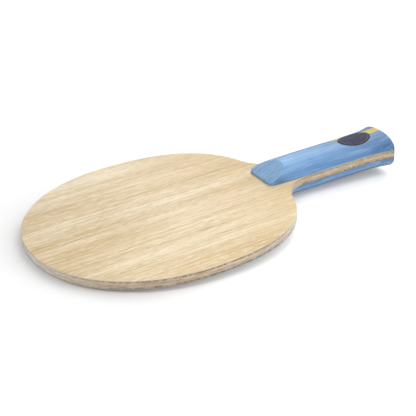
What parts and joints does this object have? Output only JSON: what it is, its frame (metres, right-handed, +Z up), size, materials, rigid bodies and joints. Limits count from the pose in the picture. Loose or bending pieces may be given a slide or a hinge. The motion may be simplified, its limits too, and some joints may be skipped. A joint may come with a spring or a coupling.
{
  "type": "table tennis paddle",
  "caption": "Bare flared-handle table tennis blade: rounded composite plywood head on a long tang between stained wood scales with a yellow inlay and an oval badge.",
  "frame": {"origin": "bottom centre of the bounding box of the paddle as it lies on a table: the floor is z = 0, under the middle of its length and width", "axes": "+X from the tip of the head towards the butt of the handle, +Y across the head, +Z up. The forehand face looks up and leans 2.8 degrees towards -X, because the tip's rim and the belly of the lower handle scale carry the paddle"},
  "size_m": [0.256, 0.15, 0.0272],
  "materials": {
    "face_wood": "pale yellow outer veneer, sanded bare, fine brown grain along the handle, satin",
    "inner_wood": "bare tan veneer seen only at the sanded edge",
    "core_wood": "bare light core wood seen only at the sanded edge",
    "fibre": "dark woven fibre sheet set in resin, a thin speckled line at the edge",
    "blue_wood": "blue stained wood with open grain streaks, thin satin lacquer",
    "yellow_wood": "yellow stained wood strip, thin satin lacquer",
    "badge": "dark charcoal oval badge with a thin bronze ring, satin gloss"
  },
  "bodies": {
    "root": {"forehand_outer_veneer": "face_wood", "forehand_fibre_layer": "fibre", "forehand_inner_veneer": "inner_wood", "core_ply": "core_wood", "backhand_inner_veneer": "inner_wood", "backhand_fibre_layer": "fibre", "backhand_outer_veneer": "face_wood", "forehand_scale_main": "blue_wood", "forehand_scale_inlay": "yellow_wood", "forehand_scale_corner": "blue_wood", "backhand_scale_main": "blue_wood", "backhand_scale_inlay": "yellow_wood", "backhand_scale_corner": "blue_wood", "handle_badge": "badge"}
  },
  "joints": []
}
